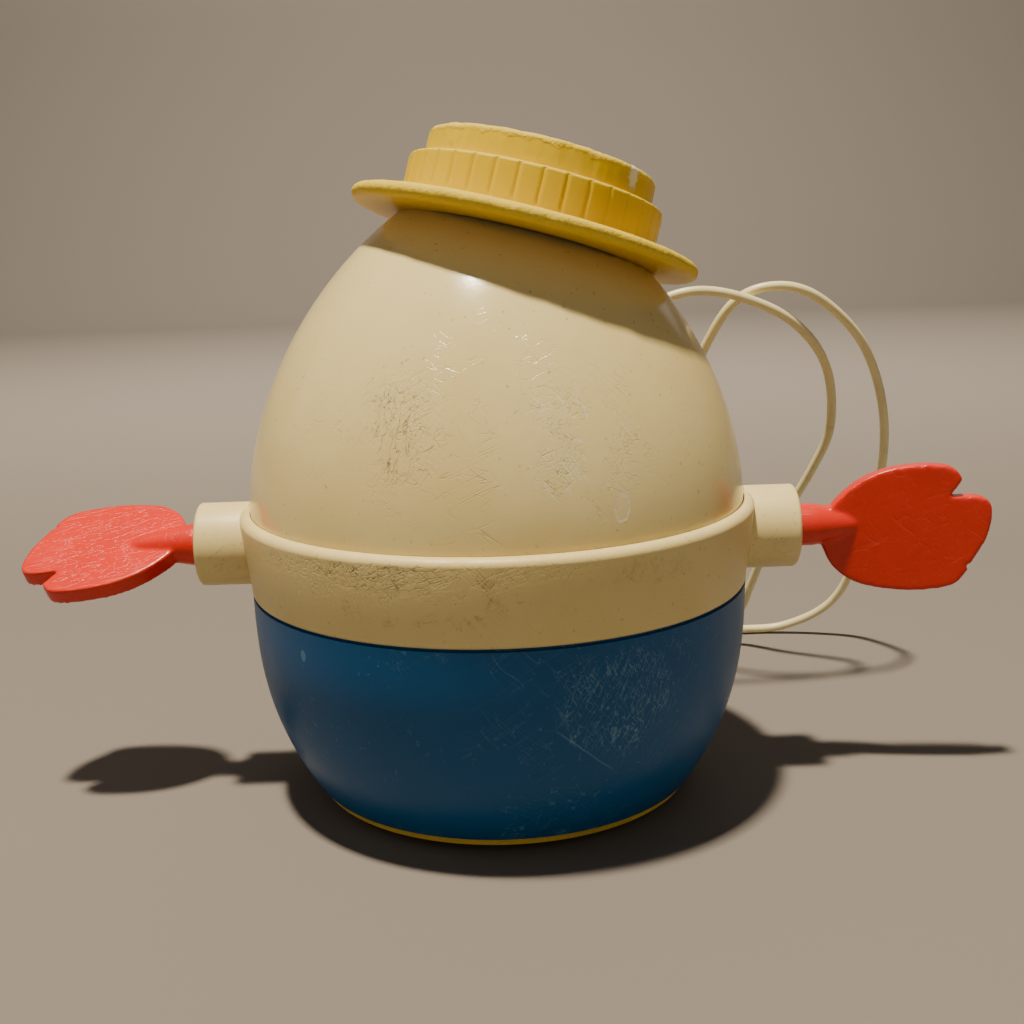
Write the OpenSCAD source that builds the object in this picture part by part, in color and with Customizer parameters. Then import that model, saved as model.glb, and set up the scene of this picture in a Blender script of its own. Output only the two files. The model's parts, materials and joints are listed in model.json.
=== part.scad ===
// Egg-shaped pull-along toy figure. Its hands turn as its hidden wheels roll.
// Origin on the floor under the egg's axis, +X to one hand, +Y the way it is pulled, +Z up.

/* [Egg] */
// Height of the egg's apex above the ledge of the belt, before the hat's cut
egg_h = 72.3; // [68:0.1:78]
// Radius of the egg where it leaves the belt
egg_r = 55.5; // [55:0.05:55.6]
// Exponent that sets how full the egg's shoulders are
egg_height_power = 1.8; // [1.6:0.05:2.1]
// Exponent that sets how blunt the egg's top is
egg_round_power = 1.55; // [1.4:0.05:1.8]
// Thickness of the moulded walls
wall = 2.2; // [1.8:0.1:2.6]

/* [Belt and sleeves] */
// Radius of the belt ring at its widest
belt_r = 58; // [58:0.1:60]
// Radius of the belt ring at its lower edge
belt_low_r = 56.2; // [56:0.1:57.5]
// Height of the belt's top ledge above the floor
belt_top_z = 67.2; // [67:0.1:68]
// Height of the belt's lower edge above the floor
belt_low_z = 49.1; // [48.9:0.1:49.3]
// Outer radius of each arm sleeve
sleeve_r = 9.5; // [8.5:0.1:9.9]
// Distance of each sleeve's end from the middle
sleeve_end_x = 68.2; // [66:0.1:69]

/* [Bowl and base] */
// Part of the bowl's radius that is lost at its foot
bowl_taper = 0.23; // [0.15:0.01:0.24]
// Exponent that keeps the bowl full until near its foot
bowl_power = 2.6; // [2.2:0.1:3]
// Radius of the base plate
base_r = 43.2; // [42:0.1:43.5]
// Thickness of the base plate
base_t = 1.7; // [1.6:0.1:2]
// Gap between the floor and the base plate
ground_gap = 2.5; // [2:0.1:3]

/* [Hat] */
// Sideways place of the middle of the brim
hat_x = 8.5; // [6:0.5:10]
// Height of the middle of the brim's upper face
hat_z = 126.9; // [125:0.1:128]
// Lean of the hat to the side
hat_side_lean = 15.5; // [12:0.5:18]
// Lean of the hat to the front
hat_front_lean = 6.2; // [3:0.1:8]
// Outer radius of the brim
brim_r = 38.6; // [37:0.1:41]
// Thickness of the brim's rim
brim_t = 3.2; // [3:0.1:4.2]
// Radius of the grooved band
band_r = 28.3; // [28:0.1:29]
// Height of the grooved band
band_h = 9.4; // [8:0.1:11]
// Radius of the crown above the band
crown_r = 25.2; // [24.5:0.1:26]
// Height of the crown's flat top above the brim
crown_h = 15.6; // [14:0.1:17]
// Number of grooves round the band
band_grooves = 36; // [24:1:36]

/* [Hands] */
// Distance of the right palm's heel from the middle of the toy
palm_x = 74.4; // [74:0.1:75]
// How much deeper the left hand's wrist is pressed onto the shaft
left_hand_in = 2.6; // [0:0.1:2.7]
// Lean of each palm out of the arm's line
palm_lean = 6; // [0:0.5:8]
// Thickness of the palm
palm_t = 4; // [3.4:0.1:5]
// Radius of the round wrist
wrist_r = 4.85; // [4.6:0.01:4.88]
// Turn of the left hand against the right one
left_hand_turn = 117; // [0:1:359]

/* [Gear train] */
// Tooth size of the gears
gear_module = 1; // [1:0.01:1]
// Teeth of the arm gear and of the axle gear
small_teeth = 16; // [16:2:16]
// Teeth of the idler gear
idler_teeth = 30; // [30:2:30]
// Thickness of each gear
gear_t = 6; // [4:0.1:6.6]
// Radius of the steel arm shaft
shaft_r = 2; // [1.8:0.1:2.2]
// Radius of the wheel axle, the idler pin and the roller pin
axle_r = 1.5; // [1.3:0.1:1.6]
// Running clearance of every bearing
running_gap = 0.06; // [0.03:0.01:0.09]

/* [Wheels] */
// Radius of each wheel
wheel_r = 14; // [13.8:0.1:14.2]
// Width of each wheel
wheel_w = 8; // [6:0.1:8]
// Distance of each wheel's middle plane from the middle of the toy
wheel_x = 22; // [21.5:0.1:22.5]
// Radius of the front roller
roller_r = 7; // [6.5:0.1:7.2]
// Width of the front roller
roller_w = 12; // [8:0.1:12]
// Distance of the front roller's pin ahead of the middle
roller_y = 27; // [26:0.1:28]

/* [Cord] */
// Radius of the pull cord
cord_r = 1.25; // [1:0.05:1.3]
// Radius of the pull bead at the cord's end
bead_r = 6.5; // [5.5:0.1:7]

/* [Hidden] */
$fn = 96;
eps = 0.01;

// Heights and places that follow from the driving dimensions
base_low_z = ground_gap;
base_top_z = base_low_z + base_t;
arm_z = (belt_top_z + belt_low_z) / 2 + 0.05;
bowl_h = belt_low_z - ground_gap;
bowl_top_r = belt_low_r - 0.1;
flange_top_z = base_top_z + 2;
small_pitch_r = gear_module * small_teeth / 2;
idler_pitch_r = gear_module * idler_teeth / 2;
gear_spacing = small_pitch_r + idler_pitch_r;
axle_y = -sqrt(pow(2 * gear_spacing, 2) - pow(arm_z - wheel_r, 2));
idler_y = axle_y / 2;
idler_z = (arm_z + wheel_r) / 2;
train_angle = atan2(arm_z - wheel_r, -axle_y);

// Inside radii of the belt, its step for the dome and its step for the post ring
belt_in_r = 53.2;
dome_rebate_r = 55.65;
dome_rebate_z = belt_top_z - 3;
post_step_z = belt_low_z + 2.4;
post_step_r = 52;

frame_x = 5;
frame_t = 2;
frame_rear_y = -26;
frame_front_y = 15;
frame_square_z = 52;
frame_foot_x = 13;
post_places = [[-33, -19], [33, -19], [-27, 27], [27, 27]];
frame_screw_places = [[-10, -19], [10, -19], [-10, 11], [10, 11]];
tie_places = [[10, 20], [11.5, 47], [-22, 48]];
post_r = 3.5;
screw_r = 1.5;
small_screw_r = 1.25;
bushing_z = 14;
bushing_r = 3;
eye_places = [[-14, 98], [14, 98]];
nose_z = 86;
nose_r = 5.5;

// Route of the cord from the knot inside the bowl, round two standing loops, to the pull bead
cord_route = [
    [0, 43.5, 17], [0, 52, 13], [1, 62, 8], [6, 74, 3], [26, 88, 1.5], [50, 90.5, 1.8], [65, 89, 4.5],
    [72.5, 86, 11.5], [75.5, 81.5, 22], [80, 73.5, 39], [88, 64.5, 58], [91.5, 58, 72], [88, 50.5, 89],
    [78, 44.5, 101], [64, 41.5, 108], [51, 40.5, 110], [39, 41, 106], [28, 41, 98], [19, 52, 86],
    [14, 60, 70], [14, 69, 52], [18, 78, 34], [30, 89, 14], [50, 96.5, 3], [76, 98.5, 1.5],
    [90, 97.5, 3], [102, 93, 11], [107.5, 86, 26], [109.5, 72, 52], [107, 61.5, 74], [98, 51, 94],
    [84.5, 45, 107], [72.5, 43.5, 110.5], [62, 45.5, 106], [54, 53, 90], [45, 65, 66], [32, 82, 36],
    [14, 99, 12], [-8, 107, 3], [-26, 105, 5]
];
cord_rings_per_span = 2;
cord_sides = 8;
cord_reference = [0, 0.88, 0.47];
bead_centre = [-30, 103, bead_r];

// Radius of the egg at part t of its height
function egg_radius(t) = egg_r * pow(1 - pow(t, egg_height_power), 1 / egg_round_power);

// Radius of the egg at height z
function egg_radius_at(z) = egg_radius((z - belt_top_z) / egg_h);

// Radius of the bowl's outside at height z
function bowl_radius(z) = bowl_top_r * (1 - bowl_taper * pow((belt_low_z - z) / bowl_h, bowl_power));

// Slope angle of the bowl's wall from the vertical at height z
function bowl_slope(z) = atan((bowl_radius(z + 0.5) - bowl_radius(z - 0.5)));

// Points of an arc round [x, y]
function arc(x, y, r, from, to, steps = 8) =
    [for (i = [0:steps]) let (a = from + (to - from) * i / steps) [x + r * cos(a), y + r * sin(a)]];

// Half of a tooth's angle at radius r, for an involute of 20 degrees with some backlash
function involute(base, r) = r <= base ? 0 : let (a = sqrt(r * r / (base * base) - 1)) a * 180 / PI - atan(a);
function half_tooth(teeth, r) =
    let (pitch = gear_module * teeth / 2, base = pitch * cos(20))
    (90 - 18 * gear_module) / teeth + involute(base, pitch) - involute(base, r);
function gear_outline(teeth, steps = 4) =
    let (root = gear_module * (teeth / 2 - 1.25), tip = gear_module * (teeth / 2 + 0.8))
    [for (i = [0:teeth - 1], side = [-1, 1], k = [0:steps])
        let (r = side < 0 ? root + (tip - root) * k / steps : tip - (tip - root) * k / steps,
             a = 360 * i / teeth + side * half_tooth(teeth, r))
        [r * cos(a), r * sin(a)]];

// Palm from its heel: round the thumb to the cut under it, along the finger tips to a nick, and back
palm_thumb = [[0, 0], [2.5, 4.7], [7.9, 9.8], [14.6, 12.8], [22.5, 13.8], [28.6, 13.1], [31.1, 10.4]];
palm_fingers = [[28.3, 6.3], [33.4, 6.5], [36.9, 5.4], [37.8, 2], [36.7, -3.5], [33.6, -9.2]];
palm_heel = [[33.1, -10.6], [30, -14.1], [23.5, -15.4], [15.5, -15.2], [7.7, -13.4], [2.6, -9.5], [0.2, -4.6]];
palm_middle = [17, -0.8];
palm_outline = concat(smooth_line(palm_thumb, 4), smooth_line(palm_fingers, 4), [[32.4, -9.5]],
                      smooth_line(palm_heel, 4));

// Smooth line through all the points, with steps points for each span
function smooth_line(points, steps) =
    concat([for (i = [0:len(points) - 2], k = [0:steps - 1]) smooth_point(points, i, k / steps)],
           [points[len(points) - 1]]);
function point_at(points, i) = points[max(0, min(len(points) - 1, i))];
function smooth_point(points, i, u) =
    let (a = point_at(points, i - 1), b = point_at(points, i), c = point_at(points, i + 1),
         d = point_at(points, i + 2))
    0.5 * (2 * b + (c - a) * u + (2 * a - 5 * b + 4 * c - d) * u * u + (3 * b - a - 3 * c + d) * u * u * u);
function unit(v) = v / norm(v);

// Places something in the hat's tilted frame
module on_hat() {
    translate([hat_x, 0, hat_z]) rotate([-hat_front_lean, hat_side_lean, 0]) children();
}

// Places a flat shape's extrusion along +X, with its own x to +Y and its own y to +Z
module along_x(y, z, x = 0) {
    translate([x, y, z]) rotate([90, 0, 90]) children();
}

// Round bar along X between two places
module bar_x(r, from, to, y, z) {
    along_x(y, z, from) cylinder(r = r, h = to - from);
}

// Both sides of the toy
module both_sides() {
    children();
    mirror([1, 0, 0]) children();
}

// Everything below a plane across the hat's axis
module under_hat_plane(level) {
    on_hat() translate([-150, -150, level - 300]) cube([300, 300, 300]);
}

// Body of revolution of the egg, shrunk by an inset
module egg_solid(inset) {
    top = egg_h - inset;
    steps = 28;
    rotate_extrude()
        polygon(concat(
            [[0, dome_rebate_z - inset]],
            [[egg_radius(0) - inset, dome_rebate_z - inset]],
            [for (i = [0:steps]) let (t = sin(90 * i / steps))
                [max(0, egg_radius(t) - inset * (1 - pow(t, 6))), belt_top_z + top * t]]));
}

module dome_shell() {
    color("cornsilk") difference() {
        intersection() { egg_solid(0); under_hat_plane(-brim_t); }
        intersection() { egg_solid(wall); under_hat_plane(-brim_t - wall); }
        on_hat() translate([0, 0, -brim_t - 2 * wall]) cylinder(r = screw_r + 0.1, h = 3 * wall);
        for (place = eye_places) on_egg_front(place[0], place[1]) translate([0, 0, -6]) cylinder(r = 1.5, h = 8);
        on_egg_front(0, nose_z) translate([0, 0, -6]) cylinder(r = 1.5, h = 8);
    }
}

module belt_ring() {
    edge = 1.5;
    color("cornsilk") difference() {
        union() {
            rotate_extrude() polygon(concat(
                [[belt_in_r, belt_low_z], [belt_low_r - 0.5, belt_low_z], [belt_low_r, belt_low_z + 0.5]],
                arc(belt_r - edge, belt_top_z - edge, edge, 0, 90),
                [[dome_rebate_r, belt_top_z], [dome_rebate_r, dome_rebate_z], [post_step_r, dome_rebate_z],
                 [post_step_r, post_step_z], [belt_in_r, post_step_z]]));
            both_sides() bar_x(sleeve_r, 56.3, sleeve_end_x, 0, arm_z);
        }
        both_sides() bar_x(wrist_r + running_gap, 50, sleeve_end_x + 1, 0, arm_z);
    }
}

module bowl_shell() {
    steps = 22;
    low = base_top_z;
    color("steelblue") difference() {
        rotate_extrude() polygon(concat(
            [[0, low]],
            [for (i = [0:steps]) let (z = low + (belt_low_z - 0.6 - low) * (1 - cos(90 * i / steps)))
                [bowl_radius(z), z]],
            [[bowl_top_r - 0.7, belt_low_z - 0.6], [bowl_top_r - 0.7, belt_low_z],
             [bowl_top_r - wall, belt_low_z]],
            [for (i = [0:steps]) let (z = belt_low_z - 0.6 - (belt_low_z - 0.6 - flange_top_z) * i / steps)
                [bowl_radius(z) - wall, z]],
            [[0, flange_top_z]]));
        translate([0, 0, low - 1]) cylinder(r = 31, h = 4);
        translate([-27.5, -27.5, low - 1]) cube([55, 29, 4]);
        translate([-13, 0, low - 1]) cube([26, roller_y + roller_r + 2, 4]);
        for (place = post_places) translate([place[0], place[1], low - 1]) cylinder(r = screw_r + 0.1, h = 4);
        on_bowl_front(bushing_z) translate([0, 0, -6]) cylinder(r = bushing_r + 0.05, h = 9);
    }
}

module base_plate() {
    color("gold") difference() {
        union() {
            translate([0, 0, base_low_z]) cylinder(r = base_r, h = base_t);
            both_sides() roller_bearing();
        }
        both_sides() translate([wheel_x - wheel_w / 2 - 1, axle_y - 12, 0])
            cube([wheel_w + 2, 24, 10]);
        translate([-roller_w / 2 - 1, roller_y - 8, 0]) cube([roller_w + 2, 16, 10]);
        bar_x(axle_r, -14, 14, roller_y, roller_r);
        for (place = post_places) translate([place[0], place[1], 0]) {
            cylinder(r = screw_r + 0.1, h = 10);
            translate([0, 0, base_low_z - eps]) cylinder(r1 = 2.9, r2 = screw_r + 0.1, h = 1.3);
        }
        for (place = frame_screw_places) translate([place[0], place[1], 0]) {
            cylinder(r = small_screw_r + 0.1, h = 10);
            translate([0, 0, base_low_z - eps]) cylinder(r1 = 2.4, r2 = small_screw_r + 0.1, h = 1.1);
        }
    }
}

// Upright block that holds one end of the roller's pin
module roller_bearing() {
    block_x = roller_w / 2 + 2;
    translate([block_x, roller_y - 4.5, base_top_z - eps]) cube([4, 9, roller_r - base_top_z]);
    bar_x(4.5, block_x, block_x + 4, roller_y, roller_r);
}

module hat() {
    rim_r = brim_t / 2;
    band_edge = 2;
    crown_edge = 1.6;
    color("gold") on_hat() difference() {
        union() {
            difference() {
                rotate_extrude() polygon(concat(
                    [[26, -brim_t]],
                    arc(brim_r - rim_r, -rim_r, rim_r, -90, 90),
                    [[band_r + 0.8, 0]],
                    [[band_r, 0.8]],
                    arc(band_r - band_edge, band_h - band_edge, band_edge, 0, 90, 4),
                    arc(crown_r - crown_edge, crown_h - crown_edge, crown_edge, 0, 90, 4),
                    [[0, crown_h], [0, crown_h - wall], [crown_r - wall, crown_h - wall],
                     [crown_r - wall, band_h - wall], [26, band_h - wall]]));
                for (i = [0:band_grooves - 1]) rotate([0, 0, 360 * i / band_grooves])
                    translate([band_r - 0.4, -0.3, 1.2]) cube([2, 0.6, band_h - 2.4]);
            }
            translate([0, 0, -brim_t]) cylinder(r = 4.5, h = brim_t + crown_h - wall / 2);
        }
        translate([0, 0, -brim_t - 1]) cylinder(r = screw_r - 0.2, h = 13);
    }
}

module hat_screw() {
    under = -brim_t - wall;
    color("silver") on_hat() {
        translate([0, 0, under - 2]) cylinder(r = 3, h = 2);
        translate([0, 0, under - eps]) cylinder(r = screw_r, h = 12);
    }
}

// One hand with its thumb up, its wrist toward the middle and its palm's heel at x = 0
module hand_solid(heel_x) {
    difference() {
        union() {
            rotate([90, 0, -palm_lean]) {
                translate([0, 0, -palm_t / 2]) linear_extrude(palm_t) palm_shape(0.95);
                translate([0, 0, 0.6 - palm_t / 2]) linear_extrude(palm_t - 1.2) palm_shape(1);
            }
            bar_x(wrist_r, 51 - heel_x, -2, 0, 0);
            translate([-2 - eps, 0, 0]) rotate([0, 90, 0]) cylinder(r1 = wrist_r, r2 = 1.4, h = 12);
        }
        bar_x(shaft_r, 50 - heel_x, 66 - heel_x, 0, 0);
    }
}

// Palm's outline, shrunk about its middle
module palm_shape(part) {
    polygon([for (point = palm_outline) palm_middle + (point - palm_middle) * part]);
}

module hand_right() {
    color("tomato") translate([palm_x, 0, arm_z]) hand_solid(palm_x);
}

module hand_left() {
    heel_x = palm_x - left_hand_in;
    color("tomato") translate([-heel_x, 0, arm_z]) rotate([left_hand_turn, 0, 0]) mirror([1, 0, 0])
        hand_solid(heel_x);
}

module arm_shaft() {
    color("silver") bar_x(shaft_r, -66, 66, 0, arm_z);
}

// Gear in the middle plane, with one tooth toward the given angle
module gear(teeth, bore_r, y, z, angle) {
    along_x(y, z, -gear_t / 2) difference() {
        linear_extrude(gear_t) rotate(angle) polygon(gear_outline(teeth));
        translate([0, 0, -1]) cylinder(r = bore_r, h = gear_t + 2);
    }
}

module arm_gear() {
    color("ivory") gear(small_teeth, shaft_r, 0, arm_z, train_angle);
}

module idler_gear() {
    color("ivory") gear(idler_teeth, axle_r + running_gap, idler_y, idler_z, train_angle + 180 / idler_teeth);
}

module axle_gear() {
    color("ivory") gear(small_teeth, axle_r, axle_y, wheel_r, train_angle);
}

// Ring on a shaft, between two places along X
module ring_x(outer_r, inner_r, from, to, y, z) {
    difference() {
        bar_x(outer_r, from, to, y, z);
        bar_x(inner_r, from - 1, to + 1, y, z);
    }
}

module shaft_collars() {
    color("ivory") both_sides() ring_x(4, shaft_r, frame_x + frame_t / 2 + 0.3, 10.5, 0, arm_z);
}

module idler_pin() {
    end = frame_x + frame_t / 2;
    color("silver") {
        bar_x(axle_r, -end, end, idler_y, idler_z);
        both_sides() bar_x(2.6, end, end + 1, idler_y, idler_z);
    }
}

module wheel_axle() {
    color("silver") bar_x(axle_r, -28.4, 28.4, axle_y, wheel_r);
}

module axle_sleeves() {
    color("ivory") both_sides()
        ring_x(2.8, axle_r, frame_x + frame_t / 2 + 0.3, wheel_x - wheel_w / 2, axle_y, wheel_r);
}

module wheel(x) {
    half = wheel_w / 2;
    color("firebrick") along_x(axle_y, wheel_r, x) rotate_extrude()
        polygon([[axle_r, -half], [4.5, -half], [4.5, -1.2], [10.5, -1.2], [10.5, -half],
                 [wheel_r - 0.6, -half], [wheel_r, 0.6 - half], [wheel_r, half - 0.6], [wheel_r - 0.6, half],
                 [10.5, half], [10.5, 1.2], [4.5, 1.2], [4.5, half], [axle_r, half]]);
}

module wheel_left() {
    wheel(-wheel_x);
}

module wheel_right() {
    wheel(wheel_x);
}

module axle_caps() {
    outer = wheel_x + wheel_w / 2;
    color("silver") both_sides() difference() {
        bar_x(3, outer, outer + 3, axle_y, wheel_r);
        bar_x(axle_r, outer - 1, 28.4, axle_y, wheel_r);
    }
}

// Bearing plate of the gear train with its foot turned outward
module frame_plate() {
    inner = frame_x - frame_t / 2;
    color("khaki") difference() {
        union() {
            along_x(0, 0, inner) linear_extrude(frame_t) {
                translate([frame_rear_y, base_top_z])
                    square([frame_front_y - frame_rear_y, frame_square_z - base_top_z]);
                polygon([[frame_rear_y, frame_square_z - 1], [frame_front_y, frame_square_z - 1],
                         [6.3, arm_z + 1], [-6.3, arm_z + 1]]);
                translate([0, arm_z]) circle(r = 6.3);
            }
            translate([inner, frame_rear_y, base_top_z])
                cube([frame_foot_x - inner, frame_front_y - frame_rear_y, 1.8]);
        }
        bar_x(shaft_r + running_gap, 0, 20, 0, arm_z);
        bar_x(axle_r, 0, 20, idler_y, idler_z);
        bar_x(axle_r + running_gap, 0, 20, axle_y, wheel_r);
        for (place = tie_places) bar_x(small_screw_r, 0, 20, place[0], place[1]);
        for (place = frame_screw_places) translate([abs(place[0]), place[1], 0])
            cylinder(r = small_screw_r - 0.15, h = 10);
    }
}

module frame_plate_left() {
    mirror([1, 0, 0]) frame_plate();
}

module frame_plate_right() {
    frame_plate();
}

module frame_spacers() {
    half = frame_x - frame_t / 2;
    color("ivory") for (place = tie_places)
        ring_x(2.4, small_screw_r + 0.05, -half, half, place[0], place[1]);
}

module frame_ties() {
    half = frame_x + frame_t / 2;
    color("silver") for (place = tie_places) {
        bar_x(small_screw_r, -half, half, place[0], place[1]);
        both_sides() bar_x(2.3, half, half + 1, place[0], place[1]);
    }
}

// Countersunk screw from below, with its head flush with the base plate's underside
module base_screw(place, r, head_r, head_h, length) {
    translate([place[0], place[1], base_low_z]) {
        cylinder(r1 = head_r, r2 = r, h = head_h);
        cylinder(r = r, h = length);
    }
}

module frame_screws() {
    color("silver") for (place = frame_screw_places) base_screw(place, small_screw_r, 2.2, 1, 3.4);
}

module body_screws() {
    color("silver") for (place = post_places) base_screw(place, screw_r, 2.7, 1.2, 12);
}

// Ring glued inside the belt, with four posts down to the bowl's flange
module post_ring() {
    low = belt_low_z - 1.6;
    color("cornsilk") difference() {
        union() {
            translate([0, 0, low]) cylinder(r = belt_in_r - 0.1, h = post_step_z - low);
            for (place = post_places) translate([place[0], place[1], flange_top_z])
                cylinder(r = post_r, h = post_step_z - flange_top_z);
        }
        translate([0, 0, low - 1]) cylinder(r = 33.5, h = 10);
        for (place = post_places) translate([place[0], place[1], flange_top_z - 1])
            cylinder(r = screw_r - 0.2, h = 12);
    }
}

module front_roller() {
    half = roller_w / 2;
    color("firebrick") along_x(roller_y, roller_r) rotate_extrude()
        polygon([[axle_r + running_gap, -half], [roller_r - 0.6, -half], [roller_r, 0.6 - half],
                 [roller_r, half - 0.6], [roller_r - 0.6, half], [axle_r + running_gap, half]]);
}

module roller_pin() {
    color("silver") bar_x(axle_r, -13, 13, roller_y, roller_r);
}

// Places something on the egg's front at a sideways place and a height, +Z outward
module on_egg_front(x, z) {
    r = egg_radius_at(z);
    slope = atan(egg_radius_at(z - 0.5) - egg_radius_at(z + 0.5));
    rotate([0, 0, -asin(x / r)]) translate([0, r, z]) rotate([slope - 90, 0, 0]) children();
}

// Eye: a flat button on a peg
module eye(place) {
    color("black") on_egg_front(place[0], place[1]) {
        translate([0, 0, 0.1]) cylinder(r = 3.6, h = 1);
        translate([0, 0, -3.5]) cylinder(r = 1.5, h = 4);
    }
}

module eye_left() {
    eye(eye_places[0]);
}

module eye_right() {
    eye(eye_places[1]);
}

module nose() {
    color("tomato") on_egg_front(0, nose_z) {
        translate([0, 0, 0.15]) intersection() {
            sphere(r = nose_r);
            translate([-10, -10, 0]) cube([20, 20, 10]);
        }
        translate([0, 0, -3.5]) cylinder(r = 1.5, h = 4);
    }
}

// Places something on the bowl's front at a height, +Z outward
module on_bowl_front(z) {
    translate([0, bowl_radius(z), z]) rotate([-90 - bowl_slope(z), 0, 0]) children();
}

module cord_bushing() {
    color("gold") on_bowl_front(bushing_z) difference() {
        union() {
            translate([0, 0, 0.05]) cylinder(r = 4.4, h = 1.4);
            translate([0, 0, -4]) cylinder(r = bushing_r, h = 5);
        }
        translate([0, 0, -5]) cylinder(r = cord_r + 0.35, h = 8);
    }
}

// Knot that stops the cord inside the bowl
module cord_knot() {
    color("khaki") on_bowl_front(bushing_z) translate([0, 0, -7.1]) sphere(r = 3.1, $fn = 32);
}

// Tube swept along the route, one ring of sides at each smooth point
module cord() {
    line = smooth_line(cord_route, cord_rings_per_span);
    count = len(line);
    points = [for (i = [0:count - 1])
        let (ahead = line[min(i + 1, count - 1)] - line[max(i - 1, 0)],
             side = unit(cross(ahead, cord_reference)), up = unit(cross(side, ahead)))
        for (k = [0:cord_sides - 1]) let (a = 360 * k / cord_sides)
            line[i] + cord_r * (cos(a) * side + sin(a) * up)];
    walls = [for (i = [0:count - 2], k = [0:cord_sides - 1])
        let (next = (k + 1) % cord_sides)
        [i * cord_sides + k, (i + 1) * cord_sides + k, (i + 1) * cord_sides + next, i * cord_sides + next]];
    start = [for (k = [0:cord_sides - 1]) k];
    end = [for (k = [cord_sides - 1:-1:0]) (count - 1) * cord_sides + k];
    color("khaki") polyhedron(points, concat(walls, [start], [end]));
}

module pull_bead() {
    color("cornsilk") translate(bead_centre) sphere(r = bead_r);
}

module bead_knot() {
    last = cord_route[len(cord_route) - 1];
    outward = unit(bead_centre - [last[0], last[1], bead_r]);
    color("khaki") translate(bead_centre + (bead_r + 1.8) * outward) sphere(r = 2.4, $fn = 32);
}

dome_shell();
belt_ring();
bowl_shell();
base_plate();
hat();
hat_screw();
hand_left();
hand_right();
arm_shaft();
arm_gear();
shaft_collars();
idler_gear();
idler_pin();
wheel_axle();
axle_gear();
axle_sleeves();
wheel_left();
wheel_right();
axle_caps();
frame_plate_left();
frame_plate_right();
frame_spacers();
frame_ties();
frame_screws();
post_ring();
body_screws();
front_roller();
roller_pin();
eye_left();
eye_right();
nose();
cord_bushing();
cord_knot();
cord();
pull_bead();
bead_knot();
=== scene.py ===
"""Egg-shaped pull-along toy figure: its shells, hat, hands, cord and the finish of every part."""
import json
import math

import bmesh
import bpy
from bpy.props import FloatProperty, FloatVectorProperty, IntProperty, PointerProperty
from mathutils import Euler, Matrix, Vector, noise


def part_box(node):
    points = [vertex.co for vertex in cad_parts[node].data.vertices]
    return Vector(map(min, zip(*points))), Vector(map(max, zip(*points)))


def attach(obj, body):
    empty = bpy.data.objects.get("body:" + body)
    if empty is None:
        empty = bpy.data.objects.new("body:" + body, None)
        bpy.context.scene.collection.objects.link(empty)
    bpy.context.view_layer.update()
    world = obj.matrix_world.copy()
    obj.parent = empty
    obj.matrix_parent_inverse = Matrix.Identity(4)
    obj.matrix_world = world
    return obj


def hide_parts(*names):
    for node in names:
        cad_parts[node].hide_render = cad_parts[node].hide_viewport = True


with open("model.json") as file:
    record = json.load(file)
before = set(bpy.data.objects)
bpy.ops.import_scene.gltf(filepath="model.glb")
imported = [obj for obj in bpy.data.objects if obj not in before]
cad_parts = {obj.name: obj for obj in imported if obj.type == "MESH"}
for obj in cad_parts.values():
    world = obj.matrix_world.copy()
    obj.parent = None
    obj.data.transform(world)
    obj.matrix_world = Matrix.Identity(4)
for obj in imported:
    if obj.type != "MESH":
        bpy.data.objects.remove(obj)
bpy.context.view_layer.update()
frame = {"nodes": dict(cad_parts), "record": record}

bl_info = {
    "name": "Pull-along egg figure",
    "version": (1, 0, 0),
    "blender": (4, 5, 0),
    "location": "View3D > Sidebar > Egg figure",
    "description": "Builds a worn plastic egg figure with a cocked hat, turning hands and a pull cord",
    "category": "Add Mesh",
}

MM = 0.001
TURN = 2 * math.pi
TOY = "toy"
ARMS = "arms"
WHEELS = "drive_axle"
SIDES = {"left": -1, "right": 1}

# Places that the frame gives
belt_lowest, belt_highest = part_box("belt_ring")
base_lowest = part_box("base_plate")[0]
hand_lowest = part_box("hand_right")[0]
wheel_lowest, wheel_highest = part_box("wheel_right")
roller_lowest, roller_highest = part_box("front_roller")
ARM_Z = (belt_lowest.z + belt_highest.z) / 2
AXLE_Y = (wheel_lowest.y + wheel_highest.y) / 2
WHEEL_R = (wheel_highest.z - wheel_lowest.z) / 2
ROLLER_R = (roller_highest.z - roller_lowest.z) / 2
ROLLER_Y = (roller_lowest.y + roller_highest.y) / 2
CORD_HOLE_Z = 0.014

# Worn places on the toy's back: x, height above the floor, half width and half height, in metres
WORN = {
    "egg_left": (-0.0178, 0.0905, 0.0125, 0.0135),
    "egg_left_core": (-0.0185, 0.0905, 0.0055, 0.0120),
    "egg_right": (0.0150, 0.0875, 0.0135, 0.0115),
    "egg_back": (0.0020, 0.0880, 0.0480, 0.0250),
    "egg_chip": (0.0238, 0.0745, 0.0017, 0.0030),
    "belt_rub": (-0.0260, 0.0628, 0.0260, 0.0032),
    "belt_middle": (-0.0160, 0.0585, 0.0260, 0.0070),
    "belt_side": (0.0300, 0.0620, 0.0110, 0.0030),
    "belt_nick": (-0.0021, 0.0622, 0.0013, 0.0010),
    "belt_edge": (-0.0080, 0.0638, 0.0440, 0.0024),
    "bowl_scuff": (0.0220, 0.0360, 0.0150, 0.0130),
    "bowl_streaks": (0.0300, 0.0260, 0.0110, 0.0110),
    "bowl_nick": (-0.0403, 0.0436, 0.0006, 0.0014),
}

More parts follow.
